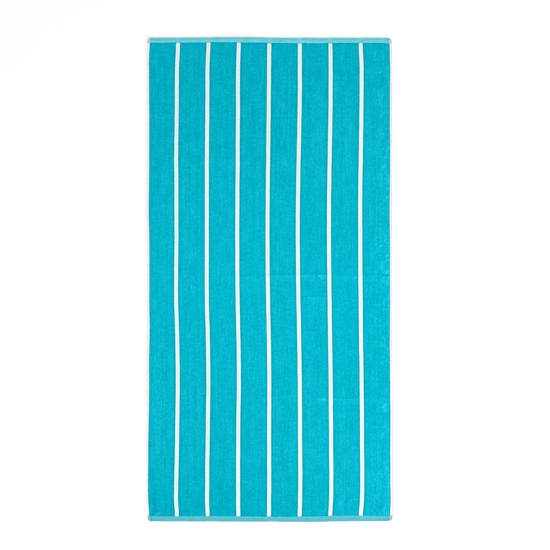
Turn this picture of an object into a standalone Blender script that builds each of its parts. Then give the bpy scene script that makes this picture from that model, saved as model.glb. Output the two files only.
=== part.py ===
"""Beach towel: one length of striped terry velour, lying flat, with flat sides and turned end hems.

The cloth is drawn flat in its own millimetres, u across and v along it. It is then laid out: the
sides and ends wander as the woven cloth does, old creases stand up as low soft ridges, and the
sheet gets the thickness of pile, hem or side band at each point. The underside rests on z = 0.
"""

from collections import namedtuple

import bmesh
import bpy
import numpy as np

# Driving dimensions, in millimetres.
LENGTH = 1500.0
WIDTH = 760.0
SIDE_BAND = 7.0
END_HEM = 17.0
STRIPES = 7
STRIPE_PITCH = 95.0
STRIPE_WIDTH = 13.0
CORNER_ROUNDING = 5.0

# Thickness of the sheet, in millimetres.
PILE_THICKNESS = 3.6
SIDE_BAND_THICKNESS = 1.9
END_HEM_THICKNESS = 2.7
RIM_THICKNESS = 1.3

# Widths over which the thickness changes, in millimetres.
RIM_ROUNDING = 1.8
PILE_RISE = 1.8

# Mesh stations, in millimetres.
PANEL_STATIONS = 3
LENGTH_STATION = 48.0
NEAR_HEM = (4.0, 14.0, 30.0, 52.0)
NEAR_CREASE = (-18.0, -10.0, -4.0, 0.0, 4.0, 10.0, 18.0)
STATION_GAP = 1.5

# How the cloth's long threads wander sideways, in millimetres, at stations along it. The columns
# are the two edges of the pile and the first, third, fifth and seventh stripe, counted from -X.
Wander = namedtuple("Wander", "v left stripe_1 stripe_3 stripe_5 stripe_7 right")
WANDER = (
    Wander(750, 2.6, 2.0, 0.2, -0.8, -3.2, -2.4),
    Wander(718, 2.0, 1.1, -0.4, -0.9, -2.2, -1.6),
    Wander(640, 0.4, -1.9, -2.7, -0.9, 0.5, -0.2),
    Wander(550, 0.5, -2.3, -2.9, -1.3, 0.1, -0.8),
    Wander(350, 1.1, -4.4, -3.9, -5.2, -2.5, 0.0),
    Wander(150, 0.5, -3.8, -5.2, -7.4, -3.9, -1.0),
    Wander(-50, 1.2, -4.7, -4.0, -5.9, -2.3, -0.4),
    Wander(-150, 2.2, -2.0, -2.3, -3.7, -2.0, -1.1),
    Wander(-350, 0.7, 0.5, -0.1, -1.0, 0.7, 0.0),
    Wander(-550, -2.3, -2.3, -2.5, -0.1, 2.0, 0.2),
    Wander(-640, -2.8, -4.5, -2.5, 0.1, 2.4, 0.4),
    Wander(-690, -1.9, -4.5, -2.3, -0.5, 0.9, 0.9),
    Wander(-718, -0.1, -2.8, -2.0, -1.2, -1.1, 0.0),
    Wander(-750, 1.6, -1.0, -1.7, -1.9, -2.8, -1.5),
)

# How far each end bows out from its straight line, in millimetres, at stations across the cloth.
Bow = namedtuple("Bow", "u far_end near_end")
BOWS = (
    Bow(-380, -1.8, 0.0),
    Bow(-300, -1.2, 0.1),
    Bow(-240, -1.0, 0.3),
    Bow(-160, -0.1, 0.5),
    Bow(-60, 0.2, 1.2),
    Bow(0, -1.1, 1.3),
    Bow(40, -1.7, 1.4),
    Bow(90, -1.8, 1.7),
    Bow(140, -1.9, 2.0),
    Bow(190, -1.9, 0.9),
    Bow(240, -2.0, -0.2),
    Bow(300, -2.0, -0.3),
    Bow(340, -2.0, -0.4),
    Bow(380, -2.2, -1.4),
)

# Creases left from storage, each a low soft ridge from one point of the cloth to another, in
# millimetres. The half width is where the ridge is down to half its height.
Crease = namedtuple("Crease", "u_from v_from u_to v_to height half_width")
CREASES = (
    Crease(-285, 370, 80, 370, 0.8, 8.0),
    Crease(-175, 8, 20, 7, 0.8, 8.0),
    Crease(-35, 8, 215, 12, 1.6, 7.0),
    Crease(165, 8, 400, 6, 1.1, 8.0),
    Crease(-100, -363, 85, -366, 0.8, 8.0),
    Crease(115, -373, 305, -375, 1.3, 7.0),
    Crease(265, -374, 400, -374, 0.6, 8.0),
    Crease(95, -55, 180, -56, 1.1, 6.0),
    Crease(158, 715, 150, 425, 0.9, 14.0),
)
CREASE_FADE = 45.0

# Looks: linear colour, and roughness, of the yarns.
TEAL_PILE = (0.002, 0.456, 0.597)
WHITE_YARN = (0.83, 0.87, 0.87)
HEM_WEAVE = (0.141, 0.604, 0.716)
COTTON_ROUGHNESS = 0.9

MM = 0.001
TEAL_SLOT, WHITE_SLOT, HEM_SLOT = range(3)


def stripe_centres():
    """Return the u of each stripe's middle, from -X to +X."""
    first = -(STRIPES - 1) / 2 * STRIPE_PITCH
    return [first + k * STRIPE_PITCH for k in range(STRIPES)]


def wander(u, v):
    """Return how far the cloth has moved sideways at (u, v), smoothly between the table's stations."""
    rows = sorted(WANDER, key=lambda row: row.v)
    along = [row.v for row in rows]
    edge = WIDTH / 2 - SIDE_BAND
    middle = stripe_centres()
    across = [-edge, middle[0], middle[2], middle[4], middle[6], edge]
    columns = ("left", "stripe_1", "stripe_3", "stripe_5", "stripe_7", "right")
    moved = [eased(v, along, [getattr(row, name) for row in rows]) for name in columns]
    return float(np.interp(u, across, moved))


def eased(x, stations, values):
    """Return the value at x on a curve through the stations that has no corners."""
    slopes = np.gradient(np.array(values, float), np.array(stations, float))
    k = int(np.clip(np.searchsorted(stations, x) - 1, 0, len(stations) - 2))
    step = stations[k + 1] - stations[k]
    t = min(max((x - stations[k]) / step, 0.0), 1.0)
    rise = (values[k], slopes[k] * step, values[k + 1], slopes[k + 1] * step)
    weights = (
        2 * t**3 - 3 * t**2 + 1,
        t**3 - 2 * t**2 + t,
        3 * t**2 - 2 * t**3,
        t**3 - t**2,
    )
    return float(np.dot(weights, rise))


def bow(u, v):
    """Return how far the cloth has moved lengthwise at (u, v): most at each end, least in the middle."""
    name = "far_end" if v > 0 else "near_end"
    outward = eased(u, [row.u for row in BOWS], [getattr(row, name) for row in BOWS])
    share = (abs(v) / (LENGTH / 2)) ** 4
    return float(np.sign(v)) * outward * share


def smooth_step(x):
    """Return 0 below 0, 1 above 1, and a soft change between."""
    t = min(max(x, 0.0), 1.0)
    return t * t * (3.0 - 2.0 * t)


def rounded(u, v):
    """Return (u, v), pulled in where it lies in a corner of the cloth, so that the corner is round."""
    past_u = abs(u) - (WIDTH / 2 - CORNER_ROUNDING)
    past_v = abs(v) - (LENGTH / 2 - CORNER_ROUNDING)
    if min(past_u, past_v) <= 0.0:
        return u, v
    pull = 1.0 - max(past_u, past_v) / float(np.hypot(past_u, past_v))
    return u - float(np.sign(u)) * past_u * pull, v - float(np.sign(v)) * past_v * pull


def lift(u, v):
    """Return how high the underside stands above the floor at (u, v): only under the creases."""
    height = 0.0
    for crease in CREASES:
        run = np.array((crease.u_to - crease.u_from, crease.v_to - crease.v_from), float)
        length = float(np.hypot(*run))
        away = np.array((u - crease.u_from, v - crease.v_from), float)
        along = float(away @ run) / length
        aside = float(away[0] * run[1] - away[1] * run[0]) / length
        ends = smooth_step(along / CREASE_FADE) * smooth_step((length - along) / CREASE_FADE)
        height += crease.height * ends * smooth_step(1.0 - abs(aside) / (2.0 * crease.half_width))
    return height


def thickness(u, v):
    """Return the sheet's thickness at (u, v): rim, then side band or hem, then pile."""
    from_side = WIDTH / 2 - abs(u)
    from_end = LENGTH / 2 - abs(v)
    flat = END_HEM_THICKNESS if from_end <= END_HEM else SIDE_BAND_THICKNESS
    rounded = smooth_step(min(from_side, from_end) / RIM_ROUNDING)
    base = RIM_THICKNESS + (flat - RIM_THICKNESS) * rounded
    inside = min((from_side - SIDE_BAND) / PILE_RISE, (from_end - END_HEM) / PILE_RISE)
    return base + (PILE_THICKNESS - base) * smooth_step(inside)


def stations_across():
    """Return the u of each mesh line along the cloth."""
    half = WIDTH / 2
    pile = half - SIDE_BAND
    sides = [half, half - RIM_ROUNDING, half - CORNER_ROUNDING, pile, pile - PILE_RISE]
    lines = [sign * u for u in sides for sign in (-1, 1)]
    edges = [pile - PILE_RISE]
    for middle in stripe_centres():
        edges += [middle - STRIPE_WIDTH / 2, middle + STRIPE_WIDTH / 2]
    edges = sorted(edges + [PILE_RISE - pile])
    lines += edges[1:-1]
    for start, stop in zip(edges[0::2], edges[1::2]):
        lines += [float(u) for u in np.linspace(start, stop, PANEL_STATIONS + 2)[1:-1]]
    return spaced(lines)


def stations_along():
    """Return the v of each mesh line across the cloth."""
    half = LENGTH / 2
    pile = half - END_HEM
    ends = [half, half - RIM_ROUNDING, half - CORNER_ROUNDING, pile, pile - PILE_RISE]
    ends += [pile - PILE_RISE - step for step in NEAR_HEM]
    lines = [sign * v for v in ends for sign in (-1, 1)]
    for crease in CREASES:
        middle = (crease.v_from + crease.v_to) / 2
        if abs(crease.v_to - crease.v_from) < crease.half_width:
            lines += [middle + step for step in NEAR_CREASE]
    inner = pile - PILE_RISE - NEAR_HEM[-1]
    count = round(2 * inner / LENGTH_STATION)
    for v in np.linspace(-inner, inner, count + 1)[1:-1]:
        if min(abs(v - other) for other in lines) > LENGTH_STATION / 2:
            lines.append(float(v))
    return spaced(lines)


def spaced(lines):
    """Return the lines in order, without any that all but meets the one before it."""
    kept = []
    for line in sorted(lines):
        if not kept or line - kept[-1] >= STATION_GAP:
            kept.append(line)
    return kept


def cloth_slot(u, v):
    """Return the material slot of the cloth at (u, v)."""
    if abs(u) > WIDTH / 2 - SIDE_BAND:
        return WHITE_SLOT
    if abs(v) > LENGTH / 2 - END_HEM:
        return HEM_SLOT
    on_stripe = any(abs(u - middle) < STRIPE_WIDTH / 2 for middle in stripe_centres())
    return WHITE_SLOT if on_stripe else TEAL_SLOT


def make_material(name, colour):
    """Return a dull cotton material of the given linear colour."""
    material = bpy.data.materials.new(name)
    material.use_nodes = True
    shader = material.node_tree.nodes["Principled BSDF"]
    shader.inputs["Base Color"].default_value = (*colour, 1.0)
    shader.inputs["Roughness"].default_value = COTTON_ROUGHNESS
    shader.inputs["Metallic"].default_value = 0.0
    material.diffuse_color = (*colour, 1.0)
    return material


def make_sheet():
    """Return the underside as an open mesh on the floor, and each vertex's share of the full thickness."""
    across = stations_across()
    along = stations_along()
    sheet = bmesh.new()
    bmesh.ops.create_grid(
        sheet, x_segments=len(across) - 1, y_segments=len(along) - 1, size=0.5
    )
    shares = []
    flat = []
    for vertex in sheet.verts:
        column = round((vertex.co.x + 0.5) * (len(across) - 1))
        row = round((vertex.co.y + 0.5) * (len(along) - 1))
        flat.append((across[column], along[row]))
    for face in sheet.faces:
        corners = [flat[vertex.index] for vertex in face.verts]
        middle_u = sum(u for u, _ in corners) / len(corners)
        middle_v = sum(v for _, v in corners) / len(corners)
        face.material_index = cloth_slot(middle_u, middle_v)
    for vertex, (u, v) in zip(sheet.verts, flat):
        round_u, round_v = rounded(u, v)
        x, y = round_u + wander(u, v), round_v + bow(u, v)
        vertex.co = (x * MM, y * MM, lift(u, v) * MM)
        shares.append(thickness(u, v) / PILE_THICKNESS)
    places = np.array([vertex.co for vertex in sheet.verts])
    middle = (places.min(axis=0) + places.max(axis=0)) / 2
    bmesh.ops.translate(sheet, verts=sheet.verts, vec=(-middle[0], -middle[1], 0.0))
    return sheet, shares


def build_towel():
    """Build the towel as one solid: the laid sheet, thickened upwards."""
    sheet, shares = make_sheet()
    mesh = bpy.data.meshes.new("towel")
    sheet.to_mesh(mesh)
    sheet.free()
    towel = bpy.data.objects.new("towel", mesh)
    collection = bpy.data.collections.new("beach_towel")
    bpy.context.scene.collection.children.link(collection)
    collection.objects.link(towel)
    mesh.materials.append(make_material("teal_velour", TEAL_PILE))
    mesh.materials.append(make_material("white_cotton", WHITE_YARN))
    mesh.materials.append(make_material("hem_weave", HEM_WEAVE))
    group = towel.vertex_groups.new(name="thickness")
    for index, share in enumerate(shares):
        group.add([index], share, "REPLACE")
    solid = towel.modifiers.new("cloth", "SOLIDIFY")
    solid.thickness = PILE_THICKNESS * MM
    solid.offset = 1.0
    solid.use_rim = True
    solid.vertex_group = group.name
    mesh.shade_smooth()
    return towel


def clear_scene():
    """Remove every object that the scene starts with."""
    for thing in list(bpy.data.objects):
        bpy.data.objects.remove(thing, do_unlink=True)


def main():
    """Build the part in an empty scene."""
    clear_scene()
    build_towel()


main()
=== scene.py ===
"""Looks of the beach towel: striped velour face, looped back, turned hems and sewing, on a pale floor.

A place on the cloth is (u, v), in millimetres on the flat cloth: u across it and v along it, both
from its middle. LaidCloth turns such places into points of the frame. Lengths are in millimetres
unless a name ends in _m.
"""

import logging
import math
from collections.abc import Sequence
from dataclasses import dataclass, field
from enum import Enum, IntEnum
from functools import cached_property
from typing import Any, NamedTuple

import bmesh
import bpy
import numpy as np
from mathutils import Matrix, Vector, noise


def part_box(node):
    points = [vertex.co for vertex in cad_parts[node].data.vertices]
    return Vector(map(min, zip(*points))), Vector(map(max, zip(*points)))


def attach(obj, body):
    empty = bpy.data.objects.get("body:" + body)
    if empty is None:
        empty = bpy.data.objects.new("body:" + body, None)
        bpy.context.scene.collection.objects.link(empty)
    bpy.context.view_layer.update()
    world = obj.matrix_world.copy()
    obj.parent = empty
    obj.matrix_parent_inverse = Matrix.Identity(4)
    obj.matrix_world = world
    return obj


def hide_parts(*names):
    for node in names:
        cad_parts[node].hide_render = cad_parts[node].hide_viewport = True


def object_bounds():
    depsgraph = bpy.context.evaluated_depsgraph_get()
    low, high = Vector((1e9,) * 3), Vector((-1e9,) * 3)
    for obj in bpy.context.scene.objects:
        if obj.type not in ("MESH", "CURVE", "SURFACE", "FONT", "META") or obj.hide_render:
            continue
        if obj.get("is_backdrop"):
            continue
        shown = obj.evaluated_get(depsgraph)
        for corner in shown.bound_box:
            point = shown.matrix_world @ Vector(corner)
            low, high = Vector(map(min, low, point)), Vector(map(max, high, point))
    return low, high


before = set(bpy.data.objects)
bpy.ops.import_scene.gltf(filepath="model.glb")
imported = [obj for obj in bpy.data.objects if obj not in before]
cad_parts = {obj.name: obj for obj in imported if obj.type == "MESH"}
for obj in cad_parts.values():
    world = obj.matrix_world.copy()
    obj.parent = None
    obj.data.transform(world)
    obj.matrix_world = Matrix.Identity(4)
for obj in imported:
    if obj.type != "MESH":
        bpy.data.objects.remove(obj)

CAD_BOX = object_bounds()
MM = 0.001
# A crease dies out over this length at each of its ends.
CREASE_FADE = 45.0
LOG = logging.getLogger("beach_towel")

Array = np.ndarray
Socket = bpy.types.NodeSocket
Paint = Socket | str


class Slot(Enum):
    """The record's material slots that pieces take their finish from."""

    TOWEL = "towel"
    THREAD = "sewing_thread"


class Weave(IntEnum):
    """The three weaves of the cloth's face, as its material indices."""

    VELOUR = 0
    END_HEM = 1
    SIDE_BAND = 2


class Edge(Enum):
    """An edge of the cloth, as the way that it faces: across the cloth, along the cloth."""

    LEFT = (-1, 0)
    RIGHT = (1, 0)
    NEAR = (0, -1)
    FAR = (0, 1)


class Wander(NamedTuple):
    """Sideways shift, at one station along the cloth, of its rims, its pile's edges and four stripes."""

    v: float
    left_rim: float
    left: float
    stripe_1: float
    stripe_3: float
    stripe_5: float
    stripe_7: float
    right: float
    right_rim: float


class Bow(NamedTuple):
    """Outward shift, at one station across the cloth, of both ends and of the pile's edge at each."""

    u: float
    far_end: float
    far_pile: float
    near_pile: float
    near_end: float


class Crease(NamedTuple):
    """A low ridge left by folding, from one place on the cloth to another.

    Broken is how far the fold has parted the pile along the ridge's top, from 0 to 1; the velour paints a
    highlight there.
    """

    u_from: float
    v_from: float
    u_to: float
    v_to: float
    height: float
    half_width: float
    broken: float

    def beside(self, u: Array, v: Array) -> tuple[Array, Array]:
        """Return where places lie beside the crease.

        Args:
            u: Places across the cloth.
            v: Places along it.

        Returns:
            How far aside of the crease each place is, and a share from 0 to 1 that fades at its ends.
        """
        run_u, run_v = self.u_to - self.u_from, self.v_to - self.v_from
        length = math.hypot(run_u, run_v)
        away_u, away_v = u - self.u_from, v - self.v_from
        along = (away_u * run_u + away_v * run_v) / length
        aside = np.abs(away_u * run_v - away_v * run_u) / length
        return aside, smooth_step(along / CREASE_FADE) * smooth_step((length - along) / CREASE_FADE)

    def ridge(self, u: Array, v: Array) -> Array:
        """Return how high the ridge stands at places on the cloth."""
        aside, ends = self.beside(u, v)
        return self.height * ends * nearness(aside, 2.0 * self.half_width)


class Fleck(NamedTuple):
    """A small place where the pile stands open, with a painted highlight, or lies shut, below 0, with
    painted shade.
    """

    u: float
    v: float
    half_length: float
    half_width: float
    turn_deg: float
    open: float


class LightPatch(NamedTuple):
    """A patch of painted light on the pile, or of painted shade where lighter is below 0."""

    u: float
    v: float
    reach: float
    lighter: float


class Pucker(NamedTuple):
    """A fan of small ridges that a turned corner draws into the cloth."""

    side: int
    end: int
    reach: float
    height: float
    ridges: float


WANDER = [
    Wander(*row)
    for row in (
        (-750, 3.0, 1.6, -1.0, -1.7, -1.9, -2.8, -1.5, 0.9),
        (-718, 1.6, -0.3, -2.7, -1.6, -1.5, -1.6, 0.7, 2.4),
        (-690, -0.9, -2.4, -4.5, -2.4, -0.3, 0.8, 2.1, 2.9),
        (-640, -1.3, -3.0, -4.1, -2.3, 0.1, 2.4, 1.2, 3.0),
        (-590, -1.2, -3.0, -3.4, -2.6, 0.4, 2.4, 1.3, 2.9),
        (-530, -1.1, -2.7, -1.9, -2.2, -0.3, 1.6, 0.7, 2.7),
        (-435, 0.4, -1.0, -0.6, -1.7, -0.8, 1.4, 1.5, 2.5),
        (-345, 0.6, 0.3, 0.5, -0.1, -1.3, 0.2, 0.5, 1.7),
        (-250, 0.6, 0.1, 0.2, -0.2, -2.3, -0.5, -0.2, 0.6),
        (-155, 1.6, 2.3, -1.8, -1.9, -3.7, -2.2, -0.6, 0.1),
        (-65, 0.9, 0.9, -4.4, -3.8, -5.5, -2.6, 0.1, 0.4),
        (30, 1.4, 1.4, -4.3, -4.7, -6.8, -3.9, 0.0, 0.3),
        (120, 0.9, 0.9, -3.5, -5.0, -7.8, -3.9, -0.1, 0.2),
        (215, -0.9, -0.9, -3.6, -4.7, -7.4, -4.3, -1.2, -0.9),
        (310, 0.3, 0.3, -3.9, -4.1, -6.2, -3.6, 0.1, 0.4),
        (400, 0.5, 0.5, -4.2, -3.7, -4.4, -2.0, 0.3, 0.6),
        (495, 1.0, 1.0, -2.7, -3.0, -2.5, -0.8, -0.5, -0.2),
        (590, 0.1, 0.1, -2.2, -2.8, -1.2, 0.3, -0.2, 0.1),
        (650, 0.5, 0.5, -1.7, -2.5, -0.9, 0.0, 0.4, 0.4),
        (690, 0.2, 0.2, -0.1, -1.6, -0.8, -1.0, -0.5, -0.5),
        (718, 1.4, 1.8, 1.1, -0.3, -1.0, -2.3, -0.8, -0.8),
        (750, 2.6, 3.1, 2.0, 0.2, -0.8, -3.2, -2.4, -2.4),
    )
]

BOWS = [
    Bow(*row)
    for row in (
        (-380, -1.8, -1.3, -0.3, 0.0),
        (-300, -1.2, 0.0, 1.0, 0.1),
        (-240, -1.0, -0.3, 0.4, 0.3),
        (-160, -0.1, 1.1, 0.4, 0.5),
        (-60, 0.2, 0.2, 1.5, 1.2),
        (0, -1.1, -0.9, 1.9, 1.3),
        (40, -1.7, -1.3, 2.3, 1.4),
        (90, -1.8, -1.8, 1.9, 1.7),
        (140, -1.9, -2.2, 1.2, 2.0),
        (190, -1.9, -1.6, -0.2, 0.9),
        (240, -2.0, -1.2, -1.5, -0.2),
        (300, -2.0, -0.9, -1.0, -0.3),
        (340, -2.0, -1.1, -0.5, -0.4),
        (380, -2.2, -3.6, -1.8, -1.4),
    )
]

CREASES = (
    Crease(-285, 368, 80, 368, 0.6, 8.0, 0.0),
    Crease(-175, 8, 20, 7, 0.8, 8.0, 0.3),
    Crease(-35, 8, 215, 12, 1.6, 7.0, 0.5),
    Crease(165, 8, 400, 6, 1.1, 8.0, 0.4),
    Crease(-100, -363, 85, -366, 1.3, 9.0, 0.0),
    Crease(115, -372, 305, -373, 1.3, 7.0, 0.5),
    Crease(265, -374, 400, -374, 0.6, 8.0, 0.3),
    Crease(88, -57, 190, -58, 1.3, 6.0, 0.5),
    Crease(158, 715, 150, 425, 0.9, 14.0, 0.0),
)

# Flecks paint highlights, and below 0 shade, into the velour's colour, besides lifting or lowering its
# pile.
FLECKS = [
    Fleck(*row)
    for row in (
        (168, 7, 11, 9, 0, 0.35),
        (165, -371, 13, 5, 0, 0.3),
        (267, 5, 9, 5, 84, 0.3),
        (362, 20, 9, 5, 0, 0.65),
        (364, 12, 10, 4, 0, -0.9),
        (366, -12, 30, 5, 90, 0.35),
        (353, 52, 6, 4, 0, 0.5),
        (359, -9, 10, 5, 129, 0.3),
        (350, -74, 10, 6, 126, 0.3),
        (355, 349, 10, 5, 37, 0.6),
        (357, 380, 9, 5, 43, 0.4),
        (352, 448, 9, 4, 81, 0.5),
        (340, 451, 11, 5, 81, 0.4),
        (352, 514, 18, 5, 56, 0.4),
        (353, 693, 18, 5, 84, 0.5),
        (327, 698, 9, 5, 70, 0.5),
        (307, 706, 9, 4, 60, 0.5),
        (338, 703, 14, 5, 60, -0.4),
        (-360, 425, 9, 5, 30, 0.35),
        (-360, 359, 13, 5, 100, 0.5),
        (358, -391, 14, 5, 77, 0.6),
        (348, -485, 16, 6, 84, 0.5),
        (337, -604, 16, 14, 0, 0.3),
        (366, -640, 30, 5, 88, 0.45),
        (324, -681, 12, 12, 0, 0.2),
        (355, -713, 14, 5, 80, 0.6),
        (341, -707, 13, 11, 0, -0.6),
        (363, -714, 5, 8, 0, -0.6),
        (364, -726, 7, 6, 0, 0.6),
        (325, -704, 8, 7, 0, 0.35),
        (222, -692, 22, 9, 62, 0.45),
        (236, -690, 12, 8, 80, -0.3),
        (252, -690, 25, 8, 75, 0.35),
        (174, -713, 10, 5, 75, 0.5),
        (-363, -703, 7, 5, 0, 0.55),
        (-345, -726, 14, 5, 25, 0.6),
        (-369, -722, 5, 8, 0, 0.5),
    )
]

# Patches of painted light, and of painted shade where lighter is below 0, in the velour's colour.
LIGHT_PATCHES = (
    LightPatch(374, -733, 350, 0.08),
    LightPatch(-374, -445, 300, 0.05),
    LightPatch(300, 400, 300, 0.035),
    LightPatch(200, 180, 260, -0.03),
    LightPatch(330, -190, 260, -0.02),
    LightPatch(150, -480, 250, 0.035),
)

PUCKERS = (
    Pucker(1, -1, 120.0, 0.9, 6.0),
    Pucker(-1, -1, 75.0, 0.6, 5.0),
    Pucker(1, 1, 55.0, 0.35, 5.0),
    Pucker(-1, 1, 55.0, 0.35, 5.0),
)


def smooth_step(x: Array) -> Array:
    """Return 0 below 0, 1 above 1, and a soft change between."""
    t = np.clip(x, 0.0, 1.0)
    return t * t * (3.0 - 2.0 * t)


def nearness(distance: Array, reach: float) -> Array:
    """Return 1 at no distance, 0 from the reach on, and a soft change between."""
    return smooth_step(1.0 - distance / reach)


def eased(x: Array, stations: Sequence[float], values: Sequence[float]) -> Array:
    """Read a curve without corners that runs through the stations.

    Args:
        x: Where to read the curve.
        stations: The rising places of its known values.
        values: The value at each station.

    Returns:
        The curve's value at each x.
    """
    at = np.asarray(stations, float)
    known = np.asarray(values, float)
    slopes = np.gradient(known, at)
    k = np.clip(np.searchsorted(at, x) - 1, 0, len(at) - 2)
    step = at[k + 1] - at[k]
    t = np.clip((x - at[k]) / step, 0.0, 1.0)
    start = known[k] * (2 * t**3 - 3 * t**2 + 1) + slopes[k] * step * (t**3 - 2 * t**2 + t)
    stop = known[k + 1] * (3 * t**2 - 2 * t**3) + slopes[k + 1] * step * (t**3 - t**2)
    return start + stop


def divided(reach: float, cell: float) -> Array:
    """Return lines about a cell apart, from minus the reach up to the reach."""
    return np.linspace(-reach, reach, round(2 * reach / cell) + 1)


def spaced(reach: float, pitch: float) -> Array:
    """Return places just one pitch apart, as many as there is room for within the reach."""
    count = int(2 * reach / pitch)
    return (np.arange(count) - (count - 1) / 2) * pitch


class Fade(NamedTuple):
    """A soft change from 0 to 1: where it starts and how wide it is."""

    start: float
    width: float

    def at(self, x: Array) -> Array:
        """Return how far the change has come at each x."""
        return smooth_step((x - self.start) / self.width)


class Grain(NamedTuple):
    """Smooth noise that is fixed to the cloth: its depth, and its features' size across and along."""

    depth: float
    across: float
    along: float
    seed: float

    def at(self, u: Array, v: Array) -> Array:
        """Read the noise.

        Args:
            u: Places across the cloth.
            v: Places along it.

        Returns:
            Noise from about minus the depth to the depth at each place.
        """
        all_u, all_v = np.broadcast_arrays(u, v)
        places = zip((all_u / self.across).ravel(), (all_v / self.along).ravel())
        values = np.fromiter((noise.noise(Vector((x, y, self.seed))) for x, y in places), float)
        return self.depth * values.reshape(all_u.shape)


@dataclass(frozen=True)
class PileLay:
    """How the pile lies: parted by creases and in flecks, ruffled at the right, with patches of painted
    light and shade.
    """

    line_width: float = 2.4
    line_bends: Grain = Grain(1.8, 38.0, 900.0, 0.0)
    second_line: float = 11.5
    second_share: float = 0.45
    dashes: Grain = Grain(1.0, 8.0, 14.0, 8.8)
    dash_middle: float = 0.8
    dash_limits: tuple[float, float] = (0.1, 1.3)
    fleck_rim: float = 1.5
    ruffle_turn: tuple[float, float] = (0.8, 0.6)
    ruffle_bends: Grain = Grain(11.0, 27.0, 31.0, 4.1)
    ruffles: Grain = Grain(1.6, 4.0, 10.0, 3.3)
    ruffle_floor: float = 0.1
    ruffle_limit: float = 0.55
    ruffled: Fade = Fade(285.0, 70.0)
    patches: Grain = Grain(1.5, 60.0, 44.0, 6.6)
    # Painted shade towards the near end.
    painted_shade_near: float = 0.045
    towards_near_end: Fade = Fade(560.0, 180.0)

    def broken(self, u: Array, v: Array) -> Array:
        """Return how far the pile is parted.

        Args:
            u: Places across the cloth.
            v: Places along it.

        Returns:
            About 1 where the pile is wide open, and below 0 where it lies shut.
        """
        parted = np.zeros(np.broadcast(u, v).shape)
        dashes = np.clip(self.dash_middle + self.dashes.at(u, v), *self.dash_limits)
        for crease in CREASES:
            bend = self.line_bends._replace(seed=crease.v_from).at(u, v)
            for below, share in ((0.0, 1.0), (self.second_line, self.second_share)):
                aside, ends = crease.beside(u, v + bend + below)
                near = nearness(aside, 2.0 * self.line_width)
                parted = np.maximum(parted, share * crease.broken * ends * near * dashes)
        for fleck in FLECKS:
            turn = math.radians(fleck.turn_deg)
            ahead = (u - fleck.u) * math.cos(turn) + (v - fleck.v) * math.sin(turn)
            aside = (v - fleck.v) * math.cos(turn) - (u - fleck.u) * math.sin(turn)
            away = np.hypot(ahead / fleck.half_length, aside / fleck.half_width)
            parted += fleck.open * nearness(away, self.fleck_rim)
        return np.where(parted < 0.0, parted, np.maximum(parted, self.ruffling(u, v)))

    def ruffling(self, u: Array, v: Array) -> Array:
        """Return how far the pile is ruffled, in patches, into short ridges that run aslant.

        Args:
            u: Places across the cloth.
            v: Places along it.

        Returns:
            How far the ridges part the pile at each place.
        """
        bent = v + self.ruffle_bends.at(u, v)
        cosine, sine = self.ruffle_turn
        turned = cosine * u - sine * bent, sine * u + cosine * bent
        ridges = self.ruffles.at(*turned) - self.ruffle_floor
        patches = self.ruffled.at(u) * smooth_step(0.5 + self.patches.at(u, v))
        return patches * np.clip(ridges, 0.0, self.ruffle_limit)

    def painted_light(self, u: Array, v: Array) -> Array:
        """Return the painted light and shade of the pile: patches lighter or darker, and darker towards
        the near end.

        Args:
            u: Places across the cloth.
            v: Places along it.

        Returns:
            The painted light that is added at each place, below 0 for painted shade, as by the near hem.
        """
        light = -self.painted_shade_near * self.towards_near_end.at(-v)
        for patch in LIGHT_PATCHES:
            light = light + patch.lighter * nearness(np.hypot(u - patch.u, v - patch.v), patch.reach)
        return light


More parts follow.
